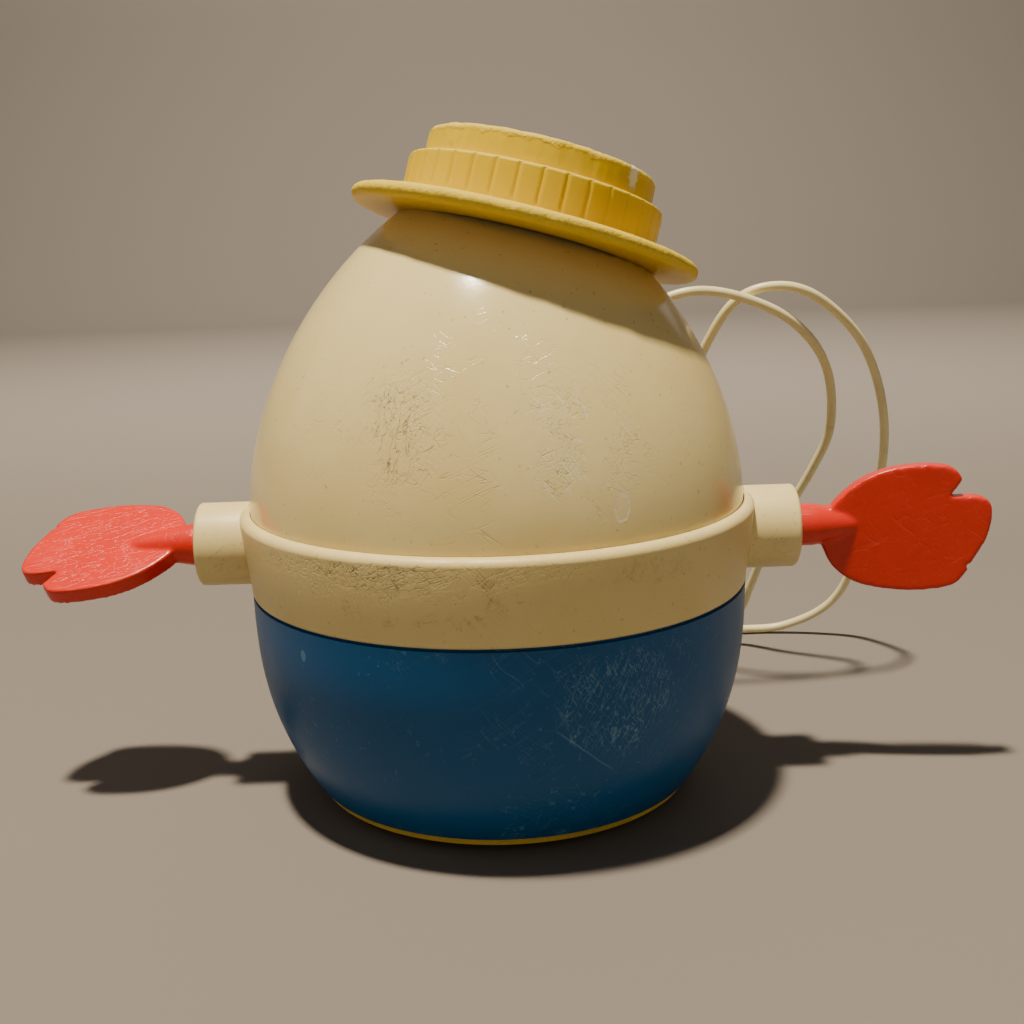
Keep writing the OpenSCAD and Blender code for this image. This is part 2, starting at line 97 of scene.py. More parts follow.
# Route of the cord from the knot inside the bowl, round two standing loops, to the pull bead
CORD_ROUTE = [
    (0, 0.0435, 0.017), (0, 0.052, 0.013), (0.001, 0.062, 0.008), (0.006, 0.074, 0.003),
    (0.026, 0.088, 0.0015), (0.05, 0.0905, 0.0018), (0.065, 0.089, 0.0045), (0.0725, 0.086, 0.0115),
    (0.0755, 0.0815, 0.022), (0.08, 0.0735, 0.039), (0.088, 0.0645, 0.058), (0.0915, 0.058, 0.072),
    (0.088, 0.0505, 0.089), (0.078, 0.0445, 0.101), (0.064, 0.0415, 0.108), (0.051, 0.0405, 0.11),
    (0.039, 0.041, 0.106), (0.028, 0.041, 0.098), (0.019, 0.052, 0.086), (0.014, 0.06, 0.07),
    (0.014, 0.069, 0.052), (0.018, 0.078, 0.034), (0.03, 0.089, 0.014), (0.05, 0.0965, 0.003),
    (0.076, 0.0985, 0.0015), (0.09, 0.0975, 0.003), (0.102, 0.093, 0.011), (0.1075, 0.086, 0.026),
    (0.1095, 0.072, 0.052), (0.107, 0.0615, 0.074), (0.098, 0.051, 0.094), (0.0845, 0.045, 0.107),
    (0.0725, 0.0435, 0.1105), (0.062, 0.0455, 0.106), (0.054, 0.053, 0.09), (0.045, 0.065, 0.066),
    (0.032, 0.082, 0.036), (0.014, 0.099, 0.012), (-0.008, 0.107, 0.003), (-0.026, 0.105, 0.005),
]


def length_setting(name, what, default):
    """A size in metres that a user may change."""
    return FloatProperty(name=name, description=what, default=default, min=0.0, unit="LENGTH", precision=5)


def colour_setting(name, what, default):
    """A base colour that a user may change."""
    return FloatVectorProperty(
        name=name, description=what, default=default, subtype="COLOR", min=0.0, max=1.0)


class EggFigureBody(bpy.types.PropertyGroup):
    """Sizes of the egg, belt, bowl and sleeves."""

    egg_height: length_setting("Egg height", "Height of the egg's apex above the belt's ledge", 0.0723)
    egg_radius: length_setting("Egg radius", "Radius of the egg where it leaves the belt", 0.0555)
    egg_height_power: FloatProperty(
        name="Shoulders", description="How full the egg's shoulders are", default=1.8)
    egg_round_power: FloatProperty(name="Bluntness", description="How blunt the egg's top is", default=1.55)
    wall: length_setting("Wall", "Thickness of the moulded walls", 0.0022)
    belt_radius: length_setting("Belt radius", "Radius of the belt at its widest", belt_highest.y)
    belt_low_radius: length_setting("Belt foot radius", "Radius of the belt's lower edge", 0.0562)
    belt_top: length_setting("Belt top", "Height of the belt's ledge above the floor", 0.0672)
    belt_low: length_setting("Belt foot", "Height of the belt's lower edge above the floor", 0.0491)
    sleeve_radius: length_setting(
        "Sleeve radius", "Outer radius of each arm sleeve", (belt_highest.z - belt_lowest.z) / 2)
    sleeve_end: length_setting("Sleeve end", "Distance of a sleeve's end from the middle", belt_highest.x)
    bore_radius: length_setting("Sleeve bore", "Radius of the bore that the wrist turns in", 0.00491)
    bowl_low: length_setting("Bowl foot", "Height of the bowl's foot above the floor", 0.0042)
    bowl_taper: FloatProperty(
        name="Bowl taper", description="Part of its radius lost at the foot", default=0.23)
    bowl_power: FloatProperty(name="Bowl fullness", description="How low the bowl stays full", default=2.6)


class EggFigureHat(bpy.types.PropertyGroup):
    """Sizes and lean of the hat."""

    centre_x: length_setting("Sideways place", "Sideways place of the brim's middle", 0.0085)
    centre_z: length_setting("Height", "Height of the middle of the brim's upper face", 0.1269)
    side_lean: FloatProperty(
        name="Side lean", description="Lean to the side", default=math.radians(15.5), subtype="ANGLE")
    front_lean: FloatProperty(
        name="Front lean", description="Lean to the front", default=math.radians(6.2), subtype="ANGLE")
    brim_radius: length_setting("Brim radius", "Outer radius of the brim", 0.0386)
    brim_thickness: length_setting("Brim thickness", "Thickness of the brim's rim", 0.0032)
    band_radius: length_setting("Band radius", "Radius of the grooved band", 0.0283)
    band_height: length_setting("Band height", "Height of the grooved band", 0.0094)
    crown_radius: length_setting("Crown radius", "Radius of the crown above the band", 0.0252)
    crown_height: length_setting("Crown height", "Height of the crown's top above the brim", 0.0156)
    grooves: IntProperty(
        name="Grooves", description="Number of grooves round the band", default=36, min=8, max=64)
    groove_depth: length_setting("Groove depth", "Depth of each groove", 0.00028)


class EggFigureHand(bpy.types.PropertyGroup):
    """Sizes of the paddle hands."""

    heel_x: length_setting("Palm place", "Distance of the right palm's heel from the middle", 0.0744)
    left_in: length_setting("Left hand's depth", "How much deeper the left wrist is pressed in", 0.0026)
    lean: FloatProperty(
        name="Palm lean", description="Lean of each palm out of the arm's line",
        default=math.radians(6), subtype="ANGLE")
    thickness: length_setting("Palm thickness", "Thickness of the palm", 0.004)
    wrist_radius: length_setting("Wrist radius", "Radius of the round wrist", 0.00485)
    left_turn: FloatProperty(
        name="Left hand's turn", description="Turn of the left hand against the right one",
        default=math.radians(117), subtype="ANGLE")


class EggFigureCord(bpy.types.PropertyGroup):
    """Sizes of the pull cord and its bead."""

    diameter: length_setting("Cord diameter", "Diameter of the pull cord", 0.0025)
    bead_radius: length_setting("Bead radius", "Radius of the pull bead", 0.0065)


class EggFigureColours(bpy.types.PropertyGroup):
    """Base colours of the plastics."""

    cream: colour_setting("Cream", "Plastic of the egg, belt and sleeves", (0.82, 0.67, 0.295))
    aged_cream: colour_setting("Aged cream", "The same plastic where it has yellowed", (0.75, 0.57, 0.195))
    # Also the colour of the painted shade along the belt's lower edge, where it meets the bowl.
    grime_and_shade: colour_setting("Grime", "Dirt held in scuffs and scratches", (0.20, 0.13, 0.06))
    blue: colour_setting("Blue", "Plastic of the bowl", (0.002, 0.085, 0.24))
    pale_blue: colour_setting("Rubbed blue", "Bowl plastic where it is scratched", (0.13, 0.27, 0.40))
    yellow: colour_setting("Yellow", "Plastic of the hat", (0.76, 0.52, 0.0))
    pale_yellow: colour_setting("Rubbed yellow", "Hat plastic where it is worn", (0.88, 0.68, 0.13))
    ochre: colour_setting("Ochre", "Plastic of the base plate", (0.85, 0.56, 0.03))
    red: colour_setting("Red", "Plastic of the hands", (0.72, 0.02, 0.006))
    dark_red: colour_setting("Dark red", "Plastic of the wheels", (0.42, 0.03, 0.02))
    cord: colour_setting("Cord", "Plastic of the cord", (0.86, 0.77, 0.40))


# ---------------------------------------------------------------- shader maths


class Wire:
    """A value on its way through a material's nodes, with arithmetic."""

    def __init__(self, paint, socket):
        self.paint = paint
        self.socket = socket

    def maths(self, operation, first, second=None):
        values = {0: first} if second is None else {0: first, 1: second}
        return self.paint.add("ShaderNodeMath", {"operation": operation}, values)

    def __add__(self, other):
        return self.maths("ADD", self, other)

    def __radd__(self, other):
        return self.maths("ADD", other, self)

    def __sub__(self, other):
        return self.maths("SUBTRACT", self, other)

    def __rsub__(self, other):
        return self.maths("SUBTRACT", other, self)

    def __mul__(self, other):
        return self.maths("MULTIPLY", self, other)

    def __rmul__(self, other):
        return self.maths("MULTIPLY", other, self)

    def __truediv__(self, other):
        return self.maths("DIVIDE", self, other)

    def __rtruediv__(self, other):
        return self.maths("DIVIDE", other, self)

    def __pow__(self, other):
        return self.maths("POWER", self, other)

    def __abs__(self):
        return self.maths("ABSOLUTE", self)


class Paint:
    """One material's nodes, with the patterns that its finish is mixed from."""

    def __init__(self, name):
        self.material = bpy.data.materials.new(name)
        self.material.use_nodes = True
        self.tree = self.material.node_tree
        self.tree.nodes.clear()
        self.place = self.add("ShaderNodeTexCoord", out="Object")

    def add(self, kind, settings=None, values=None, out=0):
        """Adds any node: its settings first, then the values or links of its sockets."""
        node = self.tree.nodes.new(kind)
        for key, value in (settings or {}).items():
            setattr(node, key, value)
        for key, value in (values or {}).items():
            if isinstance(value, Wire):
                self.tree.links.new(value.socket, node.inputs[key])
            else:
                node.inputs[key].default_value = value
        return Wire(self, node.outputs[out])

    def mix(self, factor, first, second):
        """Colour that goes from first to second as factor goes from 0 to 1."""
        ends = {6: first if isinstance(first, Wire) else (*first, 1.0),
                7: second if isinstance(second, Wire) else (*second, 1.0)}
        return self.add("ShaderNodeMix", {"data_type": "RGBA"}, {0: factor, **ends}, out=2)

    def step(self, value, low, high):
        """Smooth step from 0 at low to 1 at high, which may be the smaller one."""
        return self.add("ShaderNodeMapRange", {"interpolation_type": "SMOOTHSTEP"},
                        {"Value": value, "From Min": low, "From Max": high})

    def noise(self, scale, detail=2.0, roughness=0.5, place=None):
        """Cloudy pattern; scale is in features per metre."""
        return self.add("ShaderNodeTexNoise", None,
                        {"Vector": place or self.place, "Scale": scale, "Detail": detail,
                         "Roughness": roughness})

    def axes(self, place=None):
        """The three coordinates of a place, in metres."""
        split = self.tree.nodes.new("ShaderNodeSeparateXYZ")
        self.tree.links.new((place or self.place).socket, split.inputs[0])
        return [Wire(self, output) for output in split.outputs]

    def turned(self, location=(0, 0, 0), rotation=(0, 0, 0), scale=(1, 1, 1), kind="POINT"):
        """Object coordinates, moved, turned or stretched."""
        return self.add("ShaderNodeMapping", {"vector_type": kind},
                        {"Vector": self.place, "Location": location, "Rotation": rotation, "Scale": scale})

    def scratches(self, lean, along, across, width):
        """Long thin lines that lean from the vertical by an angle, from 0 to 1."""
        place = self.turned(rotation=(0, lean, 0), scale=(1 / across, 1 / across, 1 / along), kind="TEXTURE")
        cloud = self.noise(1.0, 1.0, 0.4, place)
        return self.step(abs(cloud - 0.5), width, width * 0.25)

    def patch(self, place, soft=0.35, grain=90):
        """Ragged oval over one worn place of the toy's back."""
        x, z, half_width, half_height = WORN[place]
        across, ahead, up = self.axes()
        ragged = (self.noise(grain, 3.0, 0.6) - 0.5) * 1.5
        reach = ((across - x) / half_width) ** 2.0 + ((up - z) / half_height) ** 2.0 + ragged
        return self.step(reach, 1.0, soft) * self.step(ahead, 0.0, -0.01)

    def bump(self, height, strength=0.5, distance=0.0002):
        """Normal that follows a height."""
        return self.add("ShaderNodeBump", None,
                        {"Height": height, "Strength": strength, "Distance": distance})

    def finish(self, colour, roughness, normal=None, **fixed):
        """Ends the material in one surface shader."""
        values = {"Base Color": colour, "Roughness": roughness}
        if normal is not None:
            values["Normal"] = normal
        values.update({key.replace("_", " "): value for key, value in fixed.items()})
        surface = self.add("ShaderNodeBsdfPrincipled", None, values)
        end = self.tree.nodes.new("ShaderNodeOutputMaterial")
        self.tree.links.new(surface.socket, end.inputs["Surface"])
        return self.material


# ---------------------------------------------------------------- finishes


def aged_cream(paint, colours):
    """Cream that has yellowed in clouds, with fine specks of dirt; returns its colour."""
    clouds = paint.step(paint.noise(22, 4.0, 0.6), 0.36, 0.7)
    specks = paint.step(paint.noise(900, 1.0), 0.70, 0.78)
    base = paint.mix(clouds * 0.55, colours.cream, colours.aged_cream)
    return paint.mix(specks * 0.35, base, colours.grime_and_shade)


def dome_finish(colours):
    """Worn cream of the egg, with two scuffed patches and a chip on its back."""
    paint = Paint("cream_dome")
    base = aged_cream(paint, colours)
    left = paint.patch("egg_left")
    core = paint.patch("egg_left_core", 0.2)
    right = paint.patch("egg_right")
    all_over = paint.patch("egg_back", 0.0)
    upright = paint.scratches(0.1, 42, 850, 0.048)
    leaning = paint.scratches(0.62, 50, 1050, 0.036)
    crossing = paint.scratches(-0.6, 50, 1000, 0.036)
    stray = paint.scratches(1.15, 30, 520, 0.014) + paint.scratches(-0.95, 28, 500, 0.014)
    smudge = paint.step(paint.noise(380, 5.0, 0.7), 0.44, 0.64)
    broken = paint.step(paint.noise(120, 2.0), 0.42, 0.54)
    dark = core * upright * 0.44 + core * smudge * 0.05 + left * (leaning + crossing) * broken * 0.26
    dark = dark + right * leaning * broken * 0.28 + all_over * stray * broken * 0.30
    pale = right * crossing * broken * 0.45
    chip = paint.patch("egg_chip", 0.6, 700)
    chip_rim = chip * (1.0 - chip) * 3.0
    colour = paint.mix((left + right) * smudge * 0.2, base, colours.aged_cream)
    colour = paint.mix(pale, colour, (0.90, 0.84, 0.68))
    colour = paint.mix(chip_rim * 0.55 + chip * 0.08, colour, (0.90, 0.86, 0.76))
    colour = paint.mix(paint.step(dark, 0.0, 1.15), colour, colours.grime_and_shade)
    worn = paint.step(left + right + chip, 0.0, 1.2)
    height = paint.noise(1300, 2.0) * 0.12 - dark * 1.7 - pale * 0.8 - chip * 0.5 + paint.noise(60, 2.0) * 0.4
    return paint.finish(colour, worn * 0.28 + 0.17, paint.bump(height, 0.35), Specular_IOR_Level=0.5)


def belt_finish(colours):
    """Cream of the belt: dulled, rubbed brown along its upper left and nicked on its edge."""
    paint = Paint("cream_belt")
    base = aged_cream(paint, colours)
    ahead, up = paint.axes()[1:]
    back = paint.step(ahead, 0.0, -0.01)
    rub = paint.patch("belt_rub")
    middle = paint.patch("belt_middle")
    side = paint.patch("belt_side")
    flat = paint.scratches(1.25, 40, 950, 0.045)
    steep = paint.scratches(0.6, 50, 1050, 0.036) + paint.scratches(-0.75, 50, 1000, 0.032)
    nick = paint.patch("belt_nick", 0.7, 700)
    grain = paint.step(paint.noise(300, 4.0, 0.7), 0.42, 0.68)
    ledge = paint.step(up, 0.0650, 0.0672) * grain
    # foot: the belt's lowest edge by the bowl; its darkening is painted shade in the groove between the two
    # parts.
    foot = paint.step(up, 0.0500, 0.0492)
    broken = paint.step(paint.noise(170, 2.0), 0.44, 0.56)
    edge = paint.patch("belt_edge") * back
    dark = rub * (flat * 0.24 + grain * 0.14) + middle * (flat + steep) * broken * 0.16
    dark = dark + edge * (flat + steep) * 0.14 + side * (grain * 0.16 + steep * 0.12)
    # The foot's share of this darkening is painted shade; the rest is rubbed dirt and wear.
    dark = dark + back * steep * broken * 0.08 + ledge * 0.2 + foot * 0.35 + nick * 0.25
    colour = paint.mix(0.30, base, colours.aged_cream)
    colour = paint.mix(paint.step(dark, 0.0, 1.15), colour, colours.grime_and_shade)
    height = paint.noise(1500, 3.0) * 0.35 - dark * 2.4 - edge * grain * 0.5
    return paint.finish(colour, 0.40 + 0.2 * paint.step(paint.noise(80, 4.0), 0.4, 0.7),
                        paint.bump(height, 0.4))


def cream_finish(colours):
    """Plain aged cream for the sleeves, the bead and the posts inside."""
    paint = Paint("cream_small")
    base = aged_cream(paint, colours)
    lines = paint.scratches(0.9, 90, 900, 0.010) * paint.step(paint.noise(70, 2.0), 0.45, 0.6)
    colour = paint.mix(lines * 0.3, base, colours.grime_and_shade)
    height = paint.noise(1200, 2.0) * 0.2 - lines * 0.5
    return paint.finish(colour, 0.34 + 0.16 * paint.noise(120, 3.0), paint.bump(height, 0.35))


def bowl_finish(colours):
    """Deep blue with fine pale scratches, a scuffed area and a rubbed foot."""
    paint = Paint("blue_bowl")
    across, ahead, up = paint.axes()
    clouds = paint.step(paint.noise(30, 4.0, 0.6), 0.35, 0.7)
    base = paint.mix(clouds * 0.4, colours.blue, (0.002, 0.075, 0.20))
    scuffed = paint.patch("bowl_scuff")
    streaked = paint.patch("bowl_streaks")
    dense = paint.scratches(0.55, 110, 950, 0.035) + paint.scratches(-0.5, 105, 980, 0.032)
    few = paint.scratches(0.95, 45, 480, 0.010) + paint.scratches(-0.75, 48, 500, 0.010)
    few = few * paint.step(paint.noise(60, 2.0), 0.46, 0.60)
    specks = paint.step(paint.noise(800, 0.5), 0.70, 0.76) * paint.step(paint.noise(50, 2.0), 0.4, 0.6)
    slant = (up - 0.0308) + (across - 0.0108) * 0.93
    wavering = slant + (paint.noise(140, 3.0) - 0.5) * 0.0016
    ends = paint.step(across, 0.0095, 0.0115) * paint.step(across, 0.0225, 0.0205)
    long_scratch = paint.step(abs(wavering), 0.0004, 0.0001) * ends * paint.step(ahead, 0.0, -0.01)
    nick = paint.patch("bowl_nick", 0.6, 600)
    foot = paint.step(up, 0.0085, 0.0045) * paint.step(paint.noise(260, 4.0, 0.7), 0.45, 0.62)
    pale = (scuffed * 0.5 + streaked * 0.25) * dense + few * 0.45 + specks * 0.45
    pale = pale + long_scratch * 0.6 + nick * 0.8 + foot * 0.4 + scuffed * 0.06
    colour = paint.mix(paint.step(pale, 0.0, 1.3), base, colours.pale_blue)
    roughness = 0.36 + 0.18 * paint.step(pale, 0.0, 0.8) + 0.08 * clouds
    height = paint.noise(900, 2.0) * 0.25 - pale * 0.5
    return paint.finish(colour, roughness, paint.bump(height, 0.3), Specular_IOR_Level=0.28)


def hat_finish(colours, hat):
    """Yellow whose brim edge, shoulder and top edge are rubbed pale and rough."""
    paint = Paint("yellow_hat")
    local = paint.turned(location=(hat.centre_x, 0, hat.centre_z),
                         rotation=(-hat.front_lean, hat.side_lean, 0), kind="TEXTURE")
    x, y, z = paint.axes(local)
    radius = (x * x + y * y) ** 0.5
    grain = paint.noise(1400, 4.0, 0.7)
    ragged = (paint.noise(240, 4.0, 0.7) - 0.5) * 0.0040
    rim = paint.step(radius + ragged, hat.brim_radius - 0.0024, hat.brim_radius - 0.0002)
    rim = rim * paint.step(z, -0.0034, -0.0016)
    top_edge = paint.step(radius + ragged, hat.crown_radius - 0.0022, hat.crown_radius - 0.0006)
    top_edge = top_edge * paint.step(z + ragged, hat.crown_height - 0.0020, hat.crown_height - 0.0006)
    shoulder = paint.step(z, hat.band_height - 0.0011, hat.band_height - 0.0003)
    shoulder = shoulder * paint.step(z, hat.band_height + 0.0012, hat.band_height + 0.0002)
    shoulder = shoulder * paint.step(radius, hat.band_radius - 0.0022, hat.band_radius - 0.0010)
    worn = rim * 0.75 + top_edge * 0.85 + shoulder * 0.5
    fuzz = worn * (0.35 + 0.65 * paint.step(grain, 0.38, 0.62))
    wall = paint.step(z, hat.band_height, hat.band_height + 0.001)
    wall = wall * paint.step(z, hat.crown_height - 0.0008, hat.crown_height - 0.0021)
    stains = paint.step(paint.noise(95, 3.0, 0.6), 0.60, 0.70) * wall
    dirt = paint.step(paint.noise(520, 4.0, 0.7), 0.60, 0.72) * rim
    # under: the brim's underside, whose tint below is painted shade.
    under = paint.step(z, -0.0030, -0.0037)
    # corner: the brim's top face at the band's foot; its darkening is painted shade in the crease.
    crease_shade = paint.step(z, 0.0016, 0.0002) * paint.step(radius, hat.band_radius + 0.0022, hat.band_radius)
    clouds = paint.step(paint.noise(45, 3.0), 0.4, 0.7)
    base = paint.mix(clouds * 0.35, colours.yellow, (0.66, 0.43, 0.0))
    colour = paint.mix(fuzz * 0.75, base, colours.pale_yellow)
    # Stains and dirt are real marks; the corner's share of this darkening is painted shade.
    colour = paint.mix(stains * 0.35 + dirt * 0.25 + crease_shade * 0.2, colour, (0.30, 0.17, 0.03))
    # Painted shade on the brim's underside.
    colour = paint.mix(under * 0.3, colour, (0.72, 0.45, 0.12))
    torn = (paint.noise(650, 4.0, 0.7) - 0.5) * 0.0035
    chip_reach = ((x - 0.0185) ** 2.0 + (y + 0.0172) ** 2.0 + ((z - 0.0135) * 0.55) ** 2.0) ** 0.5
    chip = paint.step(chip_reach + torn, 0.0019, 0.0011)
    colour = paint.mix(chip * 0.75, colour, (0.93, 0.90, 0.78))
    roughness = 0.34 + 0.34 * paint.step(worn, 0.0, 0.8)
    height = paint.noise(1100, 2.0) * 0.2 + worn * grain * 2.2 - chip * 1.5
    return paint.finish(colour, roughness, paint.bump(height, 0.6, 0.0003), Specular_IOR_Level=0.22)


def yellow_finish(colours):
    """Ochre of the base plate and the cord's bushing, with burrs along the edge."""
    paint = Paint("ochre_base")
    clouds = paint.step(paint.noise(60, 4.0), 0.35, 0.7)
    burrs = paint.step(paint.noise(700, 4.0, 0.7), 0.5, 0.68)
    lines = paint.scratches(0.3, 60, 900, 0.012) + paint.scratches(1.4, 60, 900, 0.012)
    colour = paint.mix(clouds * 0.5, colours.ochre, (0.50, 0.29, 0.02))
    colour = paint.mix(burrs * 0.35 + lines * 0.2, colour, colours.pale_yellow)
    height = burrs * 0.8 + paint.noise(1500, 2.0) * 0.3 - lines * 0.4
    return paint.finish(colour, 0.42 + 0.25 * burrs, paint.bump(height, 0.5))


def red_finish(name, base, rough):
    """Red plastic with a faint bloom and small rubbed marks."""
    paint = Paint(name)
    clouds = paint.step(paint.noise(70, 4.0, 0.6), 0.35, 0.72)
    bloom = paint.step(paint.noise(300, 5.0, 0.7), 0.55, 0.75)
    lines = paint.scratches(1.2, 60, 620, 0.010) + paint.scratches(-0.9, 60, 620, 0.010)
    colour = paint.mix(clouds * 0.4, base, [value * 0.78 for value in base])
    colour = paint.mix(bloom * 0.08 + lines * 0.06, colour, (0.85, 0.22, 0.12))
    height = paint.noise(1300, 2.0) * 0.25 + paint.noise(90, 2.0) * 0.4 - lines * 0.5
    return paint.finish(colour, rough + 0.16 * bloom, paint.bump(height, 0.3))


def black_finish():
    """Gloss black of the eyes."""
    paint = Paint("black_eye")
    dust = paint.step(paint.noise(700, 3.0), 0.55, 0.75)
    colour = paint.mix(dust * 0.15, (0.012, 0.011, 0.010), (0.12, 0.11, 0.10))
    return paint.finish(colour, 0.18 + 0.2 * dust, paint.bump(paint.noise(400, 2.0), 0.1))


def steel_finish():
    """Bright drawn steel with fine turning lines and spots of tarnish."""
    paint = Paint("bright_steel")
    lines = paint.noise(1.0, 3.0, 0.6, paint.turned(scale=(3500, 500, 500)))
    spots = paint.step(paint.noise(420, 4.0, 0.65), 0.58, 0.72)
    colour = paint.mix(spots * 0.5, (0.58, 0.58, 0.57), (0.22, 0.16, 0.10))
    roughness = 0.22 + 0.18 * lines + 0.25 * spots
    return paint.finish(colour, roughness, paint.bump(lines, 0.15), Metallic=1.0)


def gear_finish():
    """Milky gear plastic with grease in its hollows."""
    paint = Paint("gear_plastic")
    grease = paint.step(paint.noise(140, 4.0, 0.6), 0.5, 0.7)
    colour = paint.mix(grease * 0.45, (0.80, 0.78, 0.70), (0.55, 0.43, 0.24))
    height = paint.noise(1100, 2.0) * 0.3
    return paint.finish(colour, 0.42 - 0.2 * grease, paint.bump(height, 0.3))


def frame_finish():
    """Moulded buff plastic of the plates inside, with faint flow marks."""
    paint = Paint("frame_plastic")
    flow = paint.noise(1.0, 3.0, 0.6, paint.turned(rotation=(0.3, 0, 0), scale=(60, 60, 260)))
    colour = paint.mix(paint.step(flow, 0.4, 0.65) * 0.5, (0.62, 0.53, 0.36), (0.52, 0.42, 0.26))
    return paint.finish(colour, 0.45 + 0.15 * flow, paint.bump(paint.noise(1000, 2.0) * 0.4, 0.35))


def cord_finish(colours):
    """Yellowed cord plastic, a little clear, with grubby stretches."""
    paint = Paint("cord_plastic")
    clouds = paint.step(paint.noise(55, 4.0, 0.6), 0.4, 0.7)
    dirt = paint.step(paint.noise(260, 5.0, 0.7), 0.55, 0.72)
    colour = paint.mix(clouds * 0.5, colours.cord, (0.66, 0.56, 0.33))
    colour = paint.mix(dirt * 0.25, colour, (0.30, 0.23, 0.10))
    return paint.finish(colour, 0.34 + 0.2 * dirt, paint.bump(paint.noise(700, 3.0), 0.2))


def floor_finish():
    """Pale matt floor with a barely visible weave of tone."""
    paint = Paint("studio_floor")
    clouds = paint.noise(3.0, 3.0, 0.5)
    colour = paint.mix(clouds * 0.3, (0.21, 0.183, 0.155), (0.195, 0.170, 0.143))
    return paint.finish(colour, 0.9, paint.bump(paint.noise(900, 2.0), 0.1), Specular_IOR_Level=0.1)


class Finishes:
    """Every finish of the toy, made once."""

    made = {}

    @classmethod
    def get(cls, name):
        if not cls.made:
            colours = bpy.context.scene.egg_figure_colours
            hat = bpy.context.scene.egg_figure_hat
            cls.made = {
                "dome": dome_finish(colours),
                "belt": belt_finish(colours),
                "cream": cream_finish(colours),
                "bowl": bowl_finish(colours),
                "hat": hat_finish(colours, hat),
                "base": yellow_finish(colours),
                "red": red_finish("red_hand", colours.red, 0.30),
                "wheel": red_finish("dark_red_wheel", colours.dark_red, 0.48),
                "black": black_finish(),
                "steel": steel_finish(),
                "gear": gear_finish(),
                "frame": frame_finish(),
                "cord": cord_finish(colours),
                "floor": floor_finish(),
            }
        return cls.made[name]


# ---------------------------------------------------------------- shapes


def arc(x, y, radius, start, end, steps=8):
    """Points of an arc round (x, y), with its angles in degrees."""
    angles = [math.radians(start + (end - start) * i / steps) for i in range(steps + 1)]
    return [(x + radius * math.cos(a), y + radius * math.sin(a)) for a in angles]


def egg_radius(body, part):
    """Radius of the egg at a part of its height, from 0 to 1."""
    return body.egg_radius * (1 - part ** body.egg_height_power) ** (1 / body.egg_round_power)


def bowl_radius(body, height):
    """Radius of the bowl's outside at a height above the floor."""
    depth = (body.belt_low - height) / (body.belt_low - base_lowest.z)
    return (body.belt_low_radius - 0.0001) * (1 - body.bowl_taper * depth ** body.bowl_power)


def hat_frame(hat):
    """Matrix from the hat's upright frame to its leaning place."""
    lean = Euler((-hat.front_lean, hat.side_lean, 0)).to_matrix().to_4x4()
    return Matrix.Translation((hat.centre_x, 0, hat.centre_z)) @ lean


def cord_hole_frame(body):
    """Matrix of the cord's hole: its middle on the bowl's outside, +Z outward."""
    rise = bowl_radius(body, CORD_HOLE_Z + 0.0005) - bowl_radius(body, CORD_HOLE_Z - 0.0005)
    return facing((0, 1, -rise / 0.001), (0, bowl_radius(body, CORD_HOLE_Z), CORD_HOLE_Z))


def spun(profile, steps=160, closed=True):
    """Body of revolution round Z from points of (radius, height)."""
    shape = bmesh.new()
    verts = [shape.verts.new((radius, 0, height)) for radius, height in profile]
    edges = [shape.edges.new(pair) for pair in zip(verts, verts[1:])]
    if closed:
        edges.append(shape.edges.new((verts[-1], verts[0])))
    bmesh.ops.spin(shape, geom=verts + edges, cent=(0, 0, 0), axis=(0, 0, 1), angle=TURN,
                   steps=steps, use_merge=True)
    bmesh.ops.remove_doubles(shape, verts=shape.verts, dist=1e-6)
    bmesh.ops.recalc_face_normals(shape, faces=shape.faces)
    return shape


def moved(shape, matrix):
    """Moves a whole bmesh, with its faces kept outward."""
    bmesh.ops.transform(shape, matrix=matrix, verts=shape.verts)
    if matrix.determinant() < 0:
        bmesh.ops.reverse_faces(shape, faces=shape.faces)
    return shape


def facing(direction, place):
    """Matrix that takes +Z to a direction, at a place."""
    return Matrix.Translation(place) @ Vector(direction).to_track_quat("Z", "Y").to_matrix().to_4x4()


def new_object(name, shape, smooth=35):
    """Object made from a bmesh, shaded smooth up to an angle in degrees."""
    mesh = bpy.data.meshes.new(name)
    shape.to_mesh(mesh)
    shape.free()
    mesh.shade_smooth()
    mesh.set_sharp_from_angle(angle=math.radians(smooth))
    piece = bpy.data.objects.new(name, mesh)
    bpy.context.scene.collection.objects.link(piece)
    return piece


def applied(piece, smooth=35):
    """Turns a piece's modifiers into plain mesh."""
    bpy.context.view_layer.update()
    seen = piece.evaluated_get(bpy.context.evaluated_depsgraph_get())
    mesh = bpy.data.meshes.new_from_object(seen)
    piece.modifiers.clear()
    piece.data = mesh
    mesh.shade_smooth()
    mesh.set_sharp_from_angle(angle=math.radians(smooth))


def cut(piece, cutters):
    """Cuts solids out of a piece and removes them."""
    for cutter in cutters:
        knife = piece.modifiers.new("cut", "BOOLEAN")
        knife.operation = "DIFFERENCE"
        knife.solver = "EXACT"
        knife.object = cutter
    applied(piece)
    for cutter in cutters:
        bpy.data.objects.remove(cutter)


def add_piece(piece, finish, body, replaces=()):
    """Gives a piece its finish, its body and the nodes it stands for."""
    piece.data.materials.clear()
    piece.data.materials.append(Finishes.get(finish))
    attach(piece, body)
    if replaces:
        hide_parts(*replaces)


def rod(radius, length, edge=0.0, steps=64):
    """Solid round bar along Z from 0, with its far edge rounded."""
    profile = [(0, 0), (radius, 0)]
    if edge:
        profile += arc(radius - edge, length - edge, edge, 0, 90, 5)
    else:
        profile.append((radius, length))
    return spun(profile + [(0, length)], steps, closed=False)


def along_x(side, start, y, z):
    """Matrix that lays +Z along +X or -X from a distance off the middle."""
    return Matrix.Translation((side * start, y, z)) @ Matrix.Rotation(side * math.pi / 2, 4, "Y")


# ---------------------------------------------------------------- pieces


